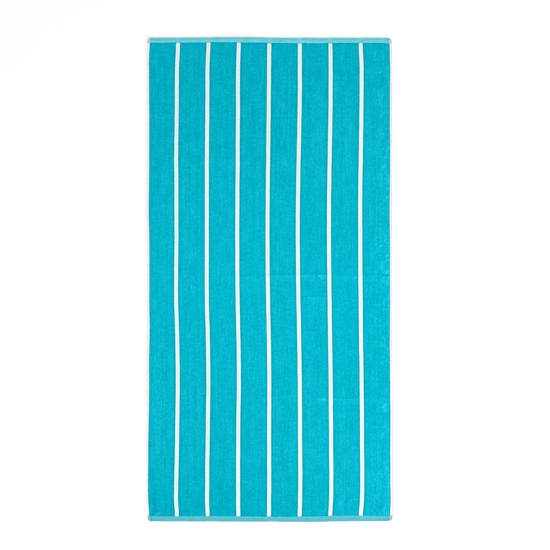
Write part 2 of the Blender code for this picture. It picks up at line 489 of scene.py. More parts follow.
@dataclass
class LaidCloth:
    """The cloth as it lies: its cut, its layout, and the point of the frame where each place is."""

    pile: PileLay = PileLay()
    width: float = 760.0
    length: float = 1500.0
    side_band: float = 6.1
    end_hem: float = 17.0
    stripe_pitch: float = 95.0
    corner_rounding: float = 9.5
    pile_thick: float = 3.6
    side_band_thick: float = 1.9
    end_hem_thick: float = 2.7
    bow_power: int = 4
    hem_rim: Fade = Fade(-0.5, 1.0)
    hem_seam: float = 13.6
    side_seam: float = 5.6
    dimple: float = 0.3
    hem_dimple: float = 1.8
    side_dimple: float = 1.2
    flank: float = 3.0
    flank_share: float = 0.6
    shoulder: float = 14.0
    gather_reach: float = 26.0
    open_pile: float = 0.5
    pressed_near: Fade = Fade(330.0, 120.0)
    pressed_left: Fade = Fade(345.0, 25.0)
    pressed_share: float = 0.4
    pucker_start: float = 0.25
    pucker_bend: Grain = Grain(0.12, 30.0, 30.0, 0.0)
    sway_across: Grain = Grain(0.45, 70.0, 38.0, 6.3)
    sway_along: Grain = Grain(0.5, 24.0, 160.0, 2.2)
    flat_grain: Grain = Grain(0.25, 19.0, 33.0, 5.2)
    gathers: Grain = Grain(0.25, 5.5, 60.0, 9.4)
    swells: Grain = Grain(0.2, 55.0, 90.0, 3.1)
    bundles: Grain = Grain(0.12, 9.0, 21.0, 7.7)
    outline_points: tuple[int, int] = (401, 801)
    middle: Array = field(default_factory=lambda: np.zeros(2))

    def __post_init__(self) -> None:
        """Shift the cloth so that its outline is where the frame's solid is."""
        halves = self.width / 2, self.length / 2
        u, v = [np.linspace(-half, half, count) for half, count in zip(halves, self.outline_points)]
        sides = self.place(u[[0, -1]][None, :], v[:, None], 0.0).reshape(-1, 3)
        ends = self.place(u[:, None], v[[0, -1]][None, :], 0.0).reshape(-1, 3)
        outline = np.concatenate([sides, ends])[:, :2] / MM
        solid = np.array(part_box("towel"))[:, :2] / MM
        self.middle = (outline.min(axis=0) + outline.max(axis=0) - solid[0] - solid[1]) / 2

    @property
    def pile_reach(self) -> tuple[float, float]:
        """Return how far from the cloth's middle the pile ends, across the cloth and along it."""
        return self.width / 2 - self.side_band, self.length / 2 - self.end_hem

    def place(self, u: Array, v: Array, z: Array) -> Array:
        """Return the frame's points, in metres, of places on the cloth.

        Args:
            u: Places across the cloth.
            v: Places along it.
            z: Heights over the floor.

        Returns:
            Points along a last axis of three.
        """
        u, v, z = np.broadcast_arrays(u, v, z)
        round_u, round_v = self.round_corner(u, v)
        x = round_u + self.wander(u, v) + self.sway_across.at(u, v) - self.middle[0]
        y = round_v + self.bow(u, v) + self.sway_along.at(u, v) - self.middle[1]
        return np.stack([x, y, z], axis=-1) * MM

    def round_corner(self, u: Array, v: Array) -> tuple[Array, Array]:
        """Round the cloth's corners.

        Args:
            u: Places across the cloth.
            v: Places along it.

        Returns:
            The places, pulled in where they lie in a corner.
        """
        past_u = np.maximum(np.abs(u) - (self.width / 2 - self.corner_rounding), 0.0)
        past_v = np.maximum(np.abs(v) - (self.length / 2 - self.corner_rounding), 0.0)
        reach = np.maximum(np.hypot(past_u, past_v), 1e-9)
        pull = np.where(np.minimum(past_u, past_v) > 0.0, 1.0 - np.maximum(past_u, past_v) / reach, 0.0)
        return u - np.sign(u) * past_u * pull, v - np.sign(v) * past_v * pull

    def wander(self, u: Array, v: Array) -> Array:
        """Return how far the cloth lies aside of straight.

        Args:
            u: Places across the cloth.
            v: Places along it.

        Returns:
            The sideways shift at each place.
        """
        rim, edge = self.width / 2, self.pile_reach[0]
        across = [-rim, -edge] + [k * self.stripe_pitch for k in (-3, -1, 1, 3)] + [edge, rim]
        along, *known = zip(*WANDER)
        columns = [eased(v, along, values) for values in known]
        shift = columns[0].copy()
        for k in range(len(across) - 1):
            share = np.clip((u - across[k]) / (across[k + 1] - across[k]), 0.0, 1.0)
            shift += (columns[k + 1] - columns[k]) * share
        return shift

    def bow(self, u: Array, v: Array) -> Array:
        """Return how far the cloth's ends lie out of square.

        Args:
            u: Places across the cloth.
            v: Places along it.

        Returns:
            The lengthwise shift at each place.
        """
        at, *known = zip(*BOWS)
        far, far_pile, near_pile, near = [eased(u, at, values) for values in known]
        to_pile = np.clip((self.length / 2 - np.abs(v)) / self.end_hem, 0.0, 1.0)
        far += (far_pile - far) * to_pile
        near += (near_pile - near) * to_pile
        return np.where(v > 0, far, -near) * (np.abs(v) / (self.length / 2)) ** self.bow_power

    def lift(self, u: Array, v: Array) -> Array:
        """Return how high the creases hold the cloth off the floor."""
        return sum(crease.ridge(u, v) for crease in CREASES)

    def puckers(self, u: Array, v: Array) -> Array:
        """Return the height of the small ridges that fan out of the corners.

        Args:
            u: Places across the cloth.
            v: Places along it.

        Returns:
            The height at each place.
        """
        height = np.zeros(np.broadcast(u, v).shape)
        for fan in PUCKERS:
            off_side = self.width / 2 - fan.side * u
            off_end = self.length / 2 - fan.end * v
            reach = np.hypot(off_side, off_end) / fan.reach
            turn = np.arctan2(off_end, off_side) / (math.pi / 2)
            bent = turn + self.pucker_bend._replace(seed=fan.ridges + fan.side).at(u, v)
            fade = smooth_step(reach / self.pucker_start) * smooth_step(1.0 - reach)
            height += fan.height * fade * np.sin(2.0 * math.pi * fan.ridges * bent)
        return height

    def top(self, u: Array, v: Array) -> Array:
        """Return the height of the cloth's upper face over the floor.

        Args:
            u: Places across the cloth.
            v: Places along it.

        Returns:
            The height at each place.
        """
        from_side = self.width / 2 - np.abs(u)
        from_end = self.length / 2 - np.abs(v)
        in_hem = self.hem_rim.at(self.end_hem - from_end)
        by_side_seam = nearness(np.abs(from_side - self.side_seam), self.side_dimple)
        flat = self.side_band_thick + (self.end_hem_thick - self.side_band_thick) * in_hem
        flat += self.flat_grain.at(u, v)
        flat -= self.dimple * nearness(np.abs(from_end - self.hem_seam), self.hem_dimple)
        flat -= self.dimple * by_side_seam * (1.0 - in_hem)
        inside = np.minimum(from_side - self.side_band, from_end - self.end_hem)
        steep = smooth_step(np.sqrt(np.clip(inside, 0.0, self.flank) / self.flank))
        soft = smooth_step(inside / self.shoulder)
        flank = self.flank_share * steep + (1.0 - self.flank_share) * soft
        by_hem = nearness(np.abs(from_end - self.end_hem), self.gather_reach)
        body = self.pile_thick + self.swells.at(u, v) + self.bundles.at(u, v)
        body += self.puckers(u, v) + self.open_pile * self.pile.broken(u, v)
        pressed = self.pressed_near.at(-v) * self.pressed_left.at(-u)
        height = (flat + (body - flat) * flank) * (1.0 - self.pressed_share * pressed)
        return height + self.gathers.at(u, v) * by_hem + self.lift(u, v)


@dataclass(frozen=True)
class TurnedEdge:
    """The section of a turned edge: the cloth goes over a round fold and back under itself.

    A place on it is measured along the cloth from the outermost point of the fold: above 0 on the
    face, below 0 on the part that is turned under.
    """

    thick: float
    turned: float
    fold_rows: int = 6
    raw_edge: float = 1.0
    under_share: float = 0.6
    off_fold: float = 0.9

    @property
    def radius(self) -> float:
        """Return the fold's radius."""
        return self.thick / 2

    @property
    def slack(self) -> float:
        """Return how much more cloth a quarter of the fold takes than its radius."""
        return self.radius * (math.pi / 2 - 1.0)

    def inset(self, s: Array) -> Array:
        """Return how far in from the edge the place s is."""
        curve = self.radius * (1.0 - np.cos(np.clip(s / self.radius, -math.pi / 2, math.pi / 2)))
        return curve + np.maximum(np.abs(s) - (self.radius + self.slack), 0.0)

    def rise(self, s: Array) -> Array:
        """Return from 0 to 1 how far up the fold the place s is."""
        return 0.5 + 0.5 * np.sin(np.clip(s / self.radius, -math.pi / 2, math.pi / 2))

    def rows(self, insets: Sequence[float]) -> list[float]:
        """List the mesh rows from the turned part's raw edge to the pile.

        Args:
            insets: The rows on the face, as distances in from the edge.

        Returns:
            The rows' places on the section.
        """
        quarter = self.radius + self.slack
        halfway = self.turned * self.under_share
        under = [self.turned + self.raw_edge, self.turned, halfway, self.radius + self.off_fold]
        rows = [-(inset + self.slack) for inset in under]
        rows += list(np.linspace(-quarter, quarter, self.fold_rows))
        return rows + [inset + self.slack for inset in insets]


def link(thing: bpy.types.Object) -> bpy.types.Object:
    """Put an object into the scene and return it."""
    bpy.context.scene.collection.objects.link(thing)
    return thing


def grid_object(name: str, points: Array, face_up: bool = True) -> bpy.types.Object:
    """Make a smooth object from a grid of points.

    Args:
        name: The object's name.
        points: Points in metres: rows along the cloth, then columns across it.
        face_up: Whether the faces look up.

    Returns:
        The object, in the scene.
    """
    rows, columns = points.shape[:2]
    sheet = bmesh.new()
    bmesh.ops.create_grid(sheet, x_segments=columns - 1, y_segments=rows - 1, size=0.5)
    if not face_up:
        bmesh.ops.reverse_faces(sheet, faces=sheet.faces)
    mesh = bpy.data.meshes.new(name)
    sheet.to_mesh(mesh)
    sheet.free()
    mesh.vertices.foreach_set("co", points.reshape(-1))
    mesh.shade_smooth()
    mesh.update()
    return link(bpy.data.objects.new(name, mesh))


def pieces_object(name: str, points: Array, faces: Array) -> bpy.types.Object:
    """Make one smooth object of many like pieces.

    Args:
        name: The object's name.
        points: Points in metres: pieces, then the points of a piece.
        faces: The faces of one piece, as indices of its points.

    Returns:
        The object, in the scene.
    """
    count, size = points.shape[:2]
    every = (np.arange(count)[:, None, None] * size + faces[None]).reshape(-1, faces.shape[1])
    mesh = bpy.data.meshes.new(name)
    mesh.from_pydata(points.reshape(-1, 3).tolist(), [], every.tolist())
    mesh.shade_smooth()
    return link(bpy.data.objects.new(name, mesh))


def add_map(thing: bpy.types.Object, name: str, places: Array) -> None:
    """Give an object a UV map.

    Args:
        thing: The object.
        name: The map's name.
        places: One place on the map for each vertex.
    """
    mesh = thing.data
    layer = mesh.uv_layers.new(name=name)
    corners = np.empty(len(mesh.loops), dtype=np.int32)
    mesh.loops.foreach_get("vertex_index", corners)
    layer.data.foreach_set("uv", places.reshape(-1, 2)[corners].reshape(-1))


def add_values(thing: bpy.types.Object, name: str, values: Array) -> None:
    """Give an object a named number for each vertex."""
    layer = thing.data.attributes.new(name, "FLOAT", "POINT")
    layer.data.foreach_set("value", values.reshape(-1))


def linear(hex_colour: str) -> tuple[float, ...]:
    """Turn an sRGB colour, as #RRGGBB, into the linear one with full alpha that the shaders take."""
    parts = [int(hex_colour[k : k + 2], 16) / 255 for k in (1, 3, 5)]
    return *(c / 12.92 if c <= 0.04045 else ((c + 0.055) / 1.055) ** 2.4 for c in parts), 1.0


class Fibres(NamedTuple):
    """Noise drawn out as fibres are: its features' size across and along the cloth, and its weight.

    Aside is how many features beside each place it is read, so that one noise can serve twice.
    """

    across: float
    along: float
    weight: float = 1.0
    aside: float = 0.0


class Border(NamedTuple):
    """Where one colour gives way to the next: the distance, and how wide the soft change is."""

    at: float
    blur: float


class Change(NamedTuple):
    """A change of a value: the distances where it starts and stops, and the value before and after."""

    start: float
    stop: float
    before: float = 0.0
    after: float = 1.0


@dataclass(frozen=True)
class FibreFinish:
    """What all the finishes share: a dull surface of fibres, patterned on the cloth's map."""

    name: str = "fibres"
    roughness: float = 0.92
    specular: float = 0.04
    specular_tint: str = "#DCEBEE"
    sheen: float = 0.015
    sheen_roughness: float = 0.5
    sheen_tint: str = "#DCEBEE"
    mid_blend: Border = Border(0.0, 100.0)

    @cached_property
    def material(self) -> bpy.types.Material:
        """Start the material, with the values that are the same all over it.

        Returns:
            The material, which is made once.
        """
        material = bpy.data.materials.new(self.name)
        material.use_nodes = True
        sockets = material.node_tree.nodes["Principled BSDF"].inputs
        sockets["Roughness"].default_value = self.roughness
        sockets["Specular IOR Level"].default_value = self.specular
        sockets["Specular Tint"].default_value = linear(self.specular_tint)
        sockets["Sheen Weight"].default_value = self.sheen
        sockets["Sheen Roughness"].default_value = self.sheen_roughness
        sockets["Sheen Tint"].default_value = linear(self.sheen_tint)
        return material

    def add(self, kind: str, *inputs: Any, output: str = "", **settings: Any) -> Socket:
        """Add a shader node to the material.

        Args:
            kind: The node's type, without the ShaderNode that every type starts with.
            inputs: What goes into its sockets, in their order, of those that its settings leave in
                use: a number, a vector, a hex colour or another node's output.
            output: The name of the output that is asked for, where it isn't the first one in use.
            settings: The node's own options.

        Returns:
            That output.
        """
        tree = self.material.node_tree
        node = tree.nodes.new("ShaderNode" + kind)
        for name, value in settings.items():
            setattr(node, name, value)
        for socket, value in zip([socket for socket in node.inputs if socket.enabled], inputs):
            if isinstance(value, Socket):
                tree.links.new(value, socket)
            else:
                socket.default_value = linear(value) if isinstance(value, str) else value
        return node.outputs[output] if output else next(s for s in node.outputs if s.enabled)

    def cover(self, colour: Socket, height: Socket, depth: float) -> bpy.types.Material:
        """Give the material its colour and its relief.

        Args:
            colour: The colour at each place.
            height: The relief at each place, from 0 to 1.
            depth: How deep the relief is from 0 to 1.

        Returns:
            The material.
        """
        tree = self.material.node_tree
        shader = tree.nodes["Principled BSDF"]
        relief = self.add("Bump", 1.0, depth * MM)
        tree.links.new(height, relief.node.inputs["Height"])
        tree.links.new(relief, shader.inputs["Normal"])
        tree.links.new(colour, shader.inputs["Base Color"])
        return self.material

    def place_on(self, axis: str) -> Socket:
        """Return the signed place across the cloth (X) or along it (Y)."""
        metres = self.add("SeparateXYZ", self.add("UVMap", uv_map="Cloth"), output=axis)
        return self.weighted(0.0, (metres, 1.0 / MM))

    def off_middle(self, axis: str) -> Socket:
        """Return the distance from the cloth's middle, across it (X) or along it (Y)."""
        return self.add("Math", self.place_on(axis), operation="ABSOLUTE")

    def inside(self, axis: str, half: float) -> Socket:
        """Return the distance in from the nearer of two edges, each that half size off the middle."""
        return self.weighted(half, (self.off_middle(axis), -1.0))

    def from_fold(self, axis: str, half: float) -> Socket:
        """Return the distance from the nearer of two such folds, also on what is turned under."""
        return self.add("Math", self.inside(axis, half), operation="ABSOLUTE")

    def fibres(self, row: Fibres) -> Socket:
        """Draw noise that is fixed to the cloth.

        Args:
            row: The noise's sizes.

        Returns:
            Noise from 0 to 1 at each place.
        """
        sizes = (1.0 / (row.across * MM), 1.0 / (row.along * MM), 1.0)
        steps = self.add("UVMap", uv_map="Cloth"), sizes, (row.aside, 0.0, 0.0)
        scaled = self.add("VectorMath", *steps, operation="MULTIPLY_ADD")
        return self.add("TexNoise", scaled, 1.0, 1.0, noise_dimensions="2D")

    def streaks(self, middle: float, *rows: Fibres) -> Socket:
        """Return noises of several sizes, added up by their weights, with their middle as given."""
        start = middle - sum(row.weight for row in rows) / 2
        return self.weighted(start, *((self.fibres(row), row.weight) for row in rows))

    def weighted(self, start: float | Socket, *parts: tuple[Socket, float | Socket]) -> Socket:
        """Add values up.

        Args:
            start: What the sum starts from.
            parts: Each value with its weight.

        Returns:
            The start plus each value times its weight.
        """
        total = start
        for value, weight in parts:
            total = self.add("Math", value, weight, total, operation="MULTIPLY_ADD")
        return total

    def shaded(self, colour: Paint, shade: Socket) -> Socket:
        """Return a colour multiplied by a grey."""
        grey = self.add("CombineColor", shade, shade, shade)
        return self.add("Mix", 1.0, colour, grey, data_type="RGBA", blend_type="MULTIPLY")

    def bordered(self, distance: Socket, border: Border, inner: Paint, outer: Paint) -> Socket:
        """Put one colour up to a border and another beyond it.

        Args:
            distance: The distance that the border is measured by.
            border: Where the border is, and how soft.
            inner: The colour below it.
            outer: The colour beyond it.

        Returns:
            The colour at each place.
        """
        change = Change(border.at - border.blur / 2, border.at + border.blur / 2)
        past = self.add("MapRange", distance, *change, interpolation_type="SMOOTHSTEP")
        return self.add("Mix", past, inner, outer, data_type="RGBA")

    def halves(self, axis: str, first: Paint, second: Paint) -> Socket:
        """Put one colour on the left half (X) or near half (Y) of the cloth and one on the other."""
        return self.bordered(self.place_on(axis), self.mid_blend, first, second)


@dataclass(frozen=True)
class StripedFinish(FibreFinish):
    """A finish that carries the woven-in stripes."""

    stripe_pitch: float = 95.0
    stripe_width: float = 11.85
    outer_stripe: float = 3.0
    ragged: float = 0.9
    tuft: Fibres = Fibres(1.6, 2.4)

    def stripe_distance(self) -> Socket:
        """Measure from the stripes.

        Returns:
            The distance from the middle of the nearest stripe, as ragged as tufts are.
        """
        pitches = self.add("Math", self.place_on("X"), self.stripe_pitch, operation="DIVIDE")
        nearest = self.add("Math", pitches, operation="ROUND")
        stripe = self.add("Clamp", nearest, -self.outer_stripe, self.outer_stripe)
        away = self.add("Math", pitches, stripe, operation="SUBTRACT")
        size = self.add("Math", away, operation="ABSOLUTE")
        tufts = self.fibres(self.tuft)
        return self.weighted(-self.ragged / 2, (size, self.stripe_pitch), (tufts, self.ragged))


@dataclass(frozen=True)
class Velour(StripedFinish):
    """Cotton velour: terry with its loops sheared to cut pile, dyed in the yarn, teal and white.

    To the eye it is an even matt colour with fine streaks along the cloth, where the pile leans
    one way or the other and the dye took a little bluer or greener. A dark line of painted shade
    runs along each colour change and the pile's own edge; along old folds, where the pile is
    parted, a light line is a painted highlight. The colour also holds painted highlights on flecks,
    on the lightest tips and on the edge tufts, and painted light and shade over the whole cloth.
    """

    name: str = "cotton_velour"
    specular_tint: str = "#2FB8C8"
    sheen_tint: str = "#3FC4D4"
    green_teal: str = "#00B3B2"
    blue_teal: str = "#00A3CE"
    # Painted highlight on the pile's tips where its grey is lightest.
    tip_highlight: str = "#3ABACB"
    # Painted highlight where creases, flecks and ruffles open the pile.
    open_pile_highlight: str = "#3ACEE0"
    # Painted shade in a dark line beside each stripe and at the pile's own edge.
    parting_shade: str = "#1493A2"
    edge_parting_shade: str = "#22909A"
    # Painted highlight on the outermost tufts at each side of the pile.
    left_edge_highlight: str = "#5CEEF4"
    right_edge_highlight: str = "#56CCD6"
    white: str = "#D9E1E4"
    # Painted highlight along the white stripes' edges, and the teal's painted bounce light in their
    # outermost tufts.
    highlight_white: str = "#DAF7F8"
    teal_bounce_white: str = "#9EFDFF"
    half_width: float = 373.9
    half_length: float = 733.0
    stripe_blur: float = 0.8
    past_stripe: float = 5.0
    parted_blur: float = 3.4
    edge_shade_border: Border = Border(4.0, 2.0)
    edge_highlight_border: Border = Border(1.2, 0.8)
    opened: Border = Border(0.65, 0.9)
    teal_bounce_rim: Border = Border(0.9, 0.8)
    highlight_rim: Border = Border(3.9, 1.4)
    # The pile leans in bundles about 4 mm wide; single tufts, under 1 mm, are too fine to show.
    leans: tuple[Fibres, ...] = (
        Fibres(4.2, 7.0, 0.41),
        Fibres(4.0, 55.0, 0.23),
        Fibres(6.0, 700.0, 0.15),
        Fibres(34.0, 5.0, 0.12),
        Fibres(26.0, 48.0, 0.12),
    )
    # Each pair is one noise, less itself one streak aside: streaks of one width, about 9 mm.
    dyes: tuple[Fibres, ...] = (
        Fibres(8.0, 90.0, 0.34),
        Fibres(8.0, 90.0, -0.34, 1.1),
        Fibres(8.0, 420.0, 0.34, 31.0),
        Fibres(8.0, 420.0, -0.34, 32.1),
        Fibres(11.0, 17.0, 0.12),
    )
    uneven: Change = Change(20.0, -150.0, 0.75, 1.25)
    evener_right: float = 0.0008
    tips: Fibres = Fibres(3.6, 9.0, 0.3)
    tips_painted_light: float = 0.8
    tips_lit: Change = Change(0.97, 1.3, 0.0, 0.22)
    white_shade: float = 0.25
    crease_light: float = 0.2
    # Painted light and shade over the whole pile: lighter to the right and near, darker towards both ends.
    lighter_right: float = 0.006
    lighter_near: float = 0.0065
    darker_ends: float = 0.078
    to_ends: Change = Change(50.0, 650.0)
    pile_relief: float = 0.25

    def make(self) -> bpy.types.Material:
        """Build the material.

        Returns:
            The material.
        """
        stripe = self.stripe_distance()
        broken = self.add("Attribute", output="Fac", attribute_name="broken_pile")
        painted_light = self.add("Attribute", output="Fac", attribute_name="painted_light_pile")
        # Painted highlight where creases, flecks and ruffles open the pile, and painted shade where flecks
        # lie shut.
        lean = self.weighted(self.streaks(1.0, *self.leans), (broken, self.crease_light))
        shade = self.shade(lean, painted_light)
        white_shade = self.weighted(1.0 - self.white_shade, (shade, self.white_shade))
        teal = self.shaded(self.teal_pile(stripe, lean, broken, painted_light), shade)
        white = self.shaded(self.white_pile(stripe), white_shade)
        pile = self.bordered(stripe, Border(self.stripe_width / 2, self.stripe_blur), white, teal)
        # Cut ends stand about 1 mm apart; relief at 1.6 mm is the finest that shows.
        return self.cover(pile, self.fibres(self.tuft), self.pile_relief)

    def shade(self, lean: Socket, painted_light: Socket) -> Socket:
        """Shade the pile.

        Args:
            lean: The grey of the pile's lean, with the painted highlight and shade where creases, flecks
                and ruffles part it.
            painted_light: The painted light and shade of the patches.

        Returns:
            The whole grey, with painted light and shade: lighter to the right and near, and darker towards
            both ends.
        """
        ends = self.add("MapRange", self.off_middle("Y"), *self.to_ends, interpolation_type="SMOOTHSTEP")
        return self.weighted(
            self.darker_ends / 2,
            (lean, 1.0),
            (self.place_on("X"), self.lighter_right / self.half_width),
            (self.place_on("Y"), -self.lighter_near / self.half_length),
            (ends, -self.darker_ends),
            (painted_light, 1.0),
        )

    def teal_pile(self, stripe: Socket, lean: Socket, broken: Socket, painted_light: Socket) -> Socket:
        """Colour the teal pile.

        Args:
            stripe: The distance from the middle of the nearest stripe.
            lean: The grey of the pile's lean.
            broken: How far the pile is parted.
            painted_light: The painted light and shade of the patches.

        Returns:
            The colour, with painted shade in a dark line beside each stripe and at the pile's own edge,
            and painted highlights on open pile, lit tips and edge tufts.
        """
        across = self.place_on("X")
        uneven = self.add("MapRange", across, *self.uneven, interpolation_type="SMOOTHSTEP")
        spread = self.weighted(0.0, (uneven, 1.0), (across, -self.evener_right))
        dye = self.weighted(0.5, (self.streaks(0.0, *self.dyes), spread))
        dyed = self.add("Mix", dye, self.green_teal, self.blue_teal, data_type="RGBA")
        # Painted highlight: the tips turn paler where the pile's grey is lightest.
        open_pile_highlight = self.weighted(self.streaks(0.0, self.tips), (lean, 1.0), (painted_light, self.tips_painted_light))
        lit = self.add("MapRange", open_pile_highlight, *self.tips_lit)
        tipped = self.add("Mix", lit, dyed, self.tip_highlight, data_type="RGBA")
        # Painted highlight where creases, flecks and ruffles open the pile.
        opened = self.bordered(broken, self.opened, tipped, self.open_pile_highlight)
        # Painted shade: a dark line beside each stripe and at the pile's own edge.
        beside = Border(self.stripe_width / 2 + self.past_stripe, self.parted_blur)
        parted = self.bordered(stripe, beside, self.parting_shade, opened)
        inset = self.inside("X", self.half_width)
        edged = self.bordered(inset, self.edge_shade_border, self.edge_parting_shade, parted)
        # Painted highlight on the outermost tufts, one colour for each side.
        edge_highlight = self.halves("X", self.left_edge_highlight, self.right_edge_highlight)
        return self.bordered(inset, self.edge_highlight_border, edge_highlight, edged)

    def white_pile(self, stripe: Socket) -> Socket:
        """Colour the white pile.

        Args:
            stripe: The distance from the middle of the stripe.

        Returns:
            The colour, with a painted highlight along the stripe's edges and painted teal bounce light in
            its outermost tufts.
        """
        from_side = self.weighted(self.stripe_width / 2, (stripe, -1.0))
        from_end = self.inside("Y", self.half_length)
        inside = self.add("Math", from_side, from_end, operation="MINIMUM")
        # Painted highlight along the stripe's edges, with painted teal bounce light at the very edge.
        outer = self.bordered(inside, self.teal_bounce_rim, self.teal_bounce_white, self.highlight_white)
        return self.bordered(inside, self.highlight_rim, outer, self.white)


@dataclass(frozen=True)
class LoopedTerry(StripedFinish):
    """Cotton terry with its loops left whole, on the towel's back.

    To the eye it is grainier than the face, with a dot of light on each loop and painted shade in the gaps
    between.
    """

    name: str = "cotton_looped_terry"
    specular_tint: str = "#2FB8C8"
    sheen_tint: str = "#3FC4D4"
    teal: str = "#1FA9BC"
    # Painted shade in the gaps between the loops.
    gap_shade: str = "#05768A"
    white: str = "#D9E4E6"
    white_gap_shade: str = "#AAB6BA"
    # Loops stand about 1.4 mm apart; every second one is drawn, so that they show.
    loop_spacing: float = 2.8
    loop_disorder: float = 0.55
    loop_edge: Border = Border(0.42, 0.35)
    loop_height: float = 0.8
    ragged: float = 1.8
    stripe_blur: float = 1.6
    patches: Fibres = Fibres(22.0, 40.0, 0.3)

    def make(self) -> bpy.types.Material:
        """Build the material.

        Returns:
            The material.
        """
        place = self.add("UVMap", uv_map="Cloth")
        loops = self.add("TexVoronoi", place, 1.0 / (self.loop_spacing * MM), voronoi_dimensions="2D")
        loops.node.inputs["Randomness"].default_value = self.loop_disorder
        teal = self.bordered(loops, self.loop_edge, self.teal, self.gap_shade)
        white = self.bordered(loops, self.loop_edge, self.white, self.white_gap_shade)
        stripe = Border(self.stripe_width / 2, self.stripe_blur)
        both = self.bordered(self.stripe_distance(), stripe, white, teal)
        height = self.weighted(1.0, (loops, -1.0))
        return self.cover(self.shaded(both, self.streaks(1.0, self.patches)), height, self.loop_height)


class HemColours(NamedTuple):
    """The colours of one end hem: from its fold in to the pile, by a stripe, and at its two ends; the fold
    colours are painted shade.
    """

    fold: str
    outer: str
    middle: str
    by_pile: str
    striped: str
    taken_in: str
    taken_fold: str


@dataclass(frozen=True)
class HemWeave(StripedFinish):
    """Flat cotton weave of the turned end hems, where the pile yarn runs in the white ground.

    To the eye it is a pale, slightly shiny blue-green, greyer where a stripe's white yarn runs into
    it and where it takes in the white side bands; painted shade makes it darker over the rounded fold.
    """

    name: str = "cotton_hem_weave"
    far: HemColours = HemColours(
        "#73A8A8", "#61C0BD", "#68C9D4", "#5CD6EA", "#76C4CF", taken_in="#D4F6FA", taken_fold="#A3ABB6"
    )
    near: HemColours = HemColours(
        "#6A9A9C", "#54A8AC", "#53B6C4", "#45BCD5", "#62ADB7", taken_in="#A5C8D2", taken_fold="#98A9B2"
    )
    greener: str = "#3FBDB0"
    bluer: str = "#68B6E0"
    dull: str = "#FFF4EA"
    half_width: float = 380.0
    half_length: float = 750.0
    width: float = 17.0
    turn: float = 2.0
    stops: tuple[float, ...] = (0.0, 0.2, 0.5, 0.82)
    stripe_spread: float = 0.6
    stripe_blur: float = 2.0
    dulled: Border = Border(361.0, 12.0)
    taken_in: Border = Border(374.4, 4.0)
    taken_fold: Border = Border(3.8, 2.5)
    patches: Fibres = Fibres(30.0, 6.0)
    green_patches: Change = Change(0.52, 0.9)
    blue_patches: Change = Change(0.48, 0.1)
    # Picks lie about 0.6 mm apart; ribs at 2.4 mm are the finest that show.
    ribs: Fibres = Fibres(2.4, 6.0, 0.22)
    uneven: Fibres = Fibres(14.0, 9.0, 0.14)
    rib_relief: float = 0.2

    def make(self) -> bpy.types.Material:
        """Build the material.

        Returns:
            The material.
        """
        stripe = self.stripe_distance()
        hems = self.halves("Y", self.hem(self.near, stripe), self.hem(self.far, stripe))
        patches = self.fibres(self.patches)
        turned = Change(self.half_length, self.half_length + self.turn, 1.0, 0.0)
        on_face = self.add("MapRange", self.off_middle("Y"), *turned)
        for change, tint in ((self.green_patches, self.greener), (self.blue_patches, self.bluer)):
            share = self.add("MapRange", patches, *change)
            shown = self.add("Math", share, on_face, operation="MULTIPLY")
            hems = self.add("Mix", shown, hems, tint, data_type="RGBA")
        duller = self.add("Mix", 1.0, hems, self.dull, data_type="RGBA", blend_type="MULTIPLY")
        hems = self.bordered(self.off_middle("X"), self.dulled, hems, duller)
        ends = self.halves("Y", self.hem_end(self.near), self.hem_end(self.far))
        whole = self.bordered(self.off_middle("X"), self.taken_in, hems, ends)
        shade = self.streaks(1.0, self.ribs, self.uneven)
        return self.cover(self.shaded(whole, shade), self.fibres(self.ribs), self.rib_relief)

    def hem(self, colours: HemColours, stripe: Socket) -> Socket:
        """Colour one hem.

        Args:
            colours: The hem's colours.
            stripe: The distance from the middle of the nearest stripe.

        Returns:
            The colour at each place.
        """
        # The ramp darkens towards the fold: painted shade on the rounded fold.
        inset = self.add("MapRange", self.from_fold("Y", self.half_length), 0.0, self.width)
        ramp = self.add("ValToRGB", inset)
        elements = ramp.node.color_ramp.elements
        for k, (place, colour) in enumerate(zip(self.stops, colours)):
            stop = elements[k] if k < len(elements) else elements.new(place)
            stop.position = place
            stop.color = linear(colour)
        striped = Border(self.stripe_width / 2 + self.stripe_spread, self.stripe_blur)
        return self.bordered(stripe, striped, colours.striped, ramp)

    def hem_end(self, colours: HemColours) -> Socket:
        """Colour one hem where it takes in the side bands.

        Args:
            colours: The hem's colours.

        Returns:
            The colour at each place, with painted shade making it greyer over the fold.
        """
        folds = self.from_fold("X", self.half_width), self.from_fold("Y", self.half_length)
        # Painted shade: greyer over the fold where the hem takes in the side band.
        rim = self.add("Math", *folds, operation="MINIMUM")
        return self.bordered(rim, self.taken_fold, colours.taken_fold, colours.taken_in)


@dataclass(frozen=True)
class SideBandWeave(FibreFinish):
    """Plain white cotton ground weave of the long sides, without pile, turned and sewn down.

    To the eye it is a clean white with a faint thread grain; beside the pile it is painted lighter,
    with the teal of the pile as painted bounce light, and painted shade makes its right fold grey.
    """

    name: str = "cotton_side_band"
    white: str = "#E3EDEF"
    # Painted light beside the pile, tinted by its teal, and painted shade on the right fold.
    by_pile: str = "#F6FFFF"
    right_fold_shade: str = "#C6C5CB"
    by_pile_end: Border = Border(377.2, 1.5)
    fold_start: Border = Border(377.6, 1.2)
    fold_end: Border = Border(382.0, 1.2)
    # Threads lie about 0.5 mm apart; grain at 1.4 mm is the finest that shows.
    threads: Fibres = Fibres(1.4, 1.8, 0.14)
    thread_relief: float = 0.15

    def make(self) -> bpy.types.Material:
        """Build the material.

        Returns:
            The material.
        """
        across = self.place_on("X")
        # Painted light beside the pile and painted shade on the right fold.
        flat = self.bordered(self.off_middle("X"), self.by_pile_end, self.by_pile, self.white)
        folded = self.bordered(across, self.fold_start, flat, self.right_fold_shade)
        whole = self.bordered(across, self.fold_end, folded, self.white)
        coloured = self.shaded(whole, self.streaks(1.0, self.threads))
        return self.cover(coloured, self.fibres(self.threads), self.thread_relief)


